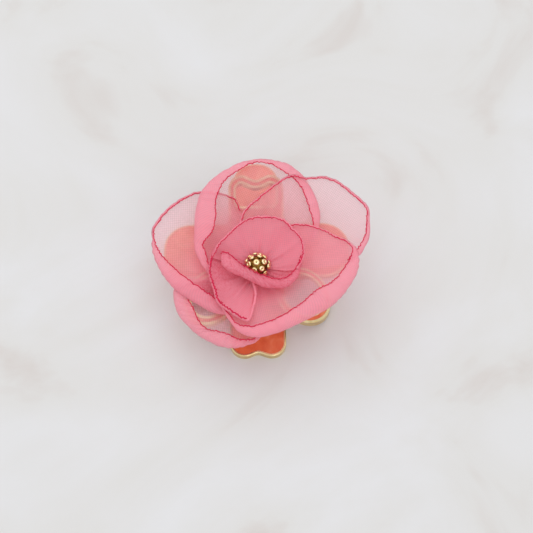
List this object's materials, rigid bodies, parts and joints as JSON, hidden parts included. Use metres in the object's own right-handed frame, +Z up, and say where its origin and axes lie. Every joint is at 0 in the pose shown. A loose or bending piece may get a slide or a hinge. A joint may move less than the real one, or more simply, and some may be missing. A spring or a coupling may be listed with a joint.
{
  "type": "flower hair clip",
  "caption": "Enamelled metal hair claw lying on its back jaw, with a sheer organza flower and a beaded centre on its sprung front jaw.",
  "frame": {"origin": "on the flat underside of the back jaw, on the clip's middle line and 9.5 mm in front of the hinge pin", "axes": "+Z up, away from the table; +Y from the teeth to the thumb tabs; +X to the right along the hinge pin, seen from the teeth"},
  "size_m": [0.0632, 0.0721, 0.0288],
  "materials": {
    "gold_plate": "polished gold plating",
    "coral_enamel": "glossy coral enamel",
    "steel": "bright spring steel",
    "felt": "pink felt",
    "organza": "sheer pink organza with a crimson thread hem",
    "bead_gold": "small shiny gold beads"
  },
  "bodies": {
    "back_jaw": {"back_jaw_frame": "gold_plate", "back_thumb_enamel": "coral_enamel", "back_tooth_enamel": "coral_enamel", "left_petal_enamel": "coral_enamel", "right_petal_enamel": "coral_enamel", "hinge_pin": "steel", "torsion_spring": "steel"},
    "front_jaw": {"front_jaw_frame": "gold_plate", "thumb_loop_enamel": "coral_enamel", "left_loop_enamel": "coral_enamel", "right_loop_enamel": "coral_enamel", "flower_pad": "felt", "petal_lower_left": "organza", "petal_left": "organza", "petal_top": "organza", "petal_right": "organza", "petal_lower_right": "organza", "petal_inner_left": "organza", "petal_cup_front": "organza", "petal_cup_back": "organza", "stamen_stem": "bead_gold", "stamen_dome": "bead_gold", "stamen_beads": "bead_gold"}
  },
  "joints": [
    {"name": "jaw_hinge", "type": "hinge", "parent": "back_jaw", "child": "front_jaw", "pos_m": [0, 0.0095, 0.0065], "axis": [-1, 0, 0], "range_deg": [0, 40], "stiffness_Nm_per_rad": 0.08, "springref_deg": -34.38, "deforming": ["torsion_spring"]}
  ]
}
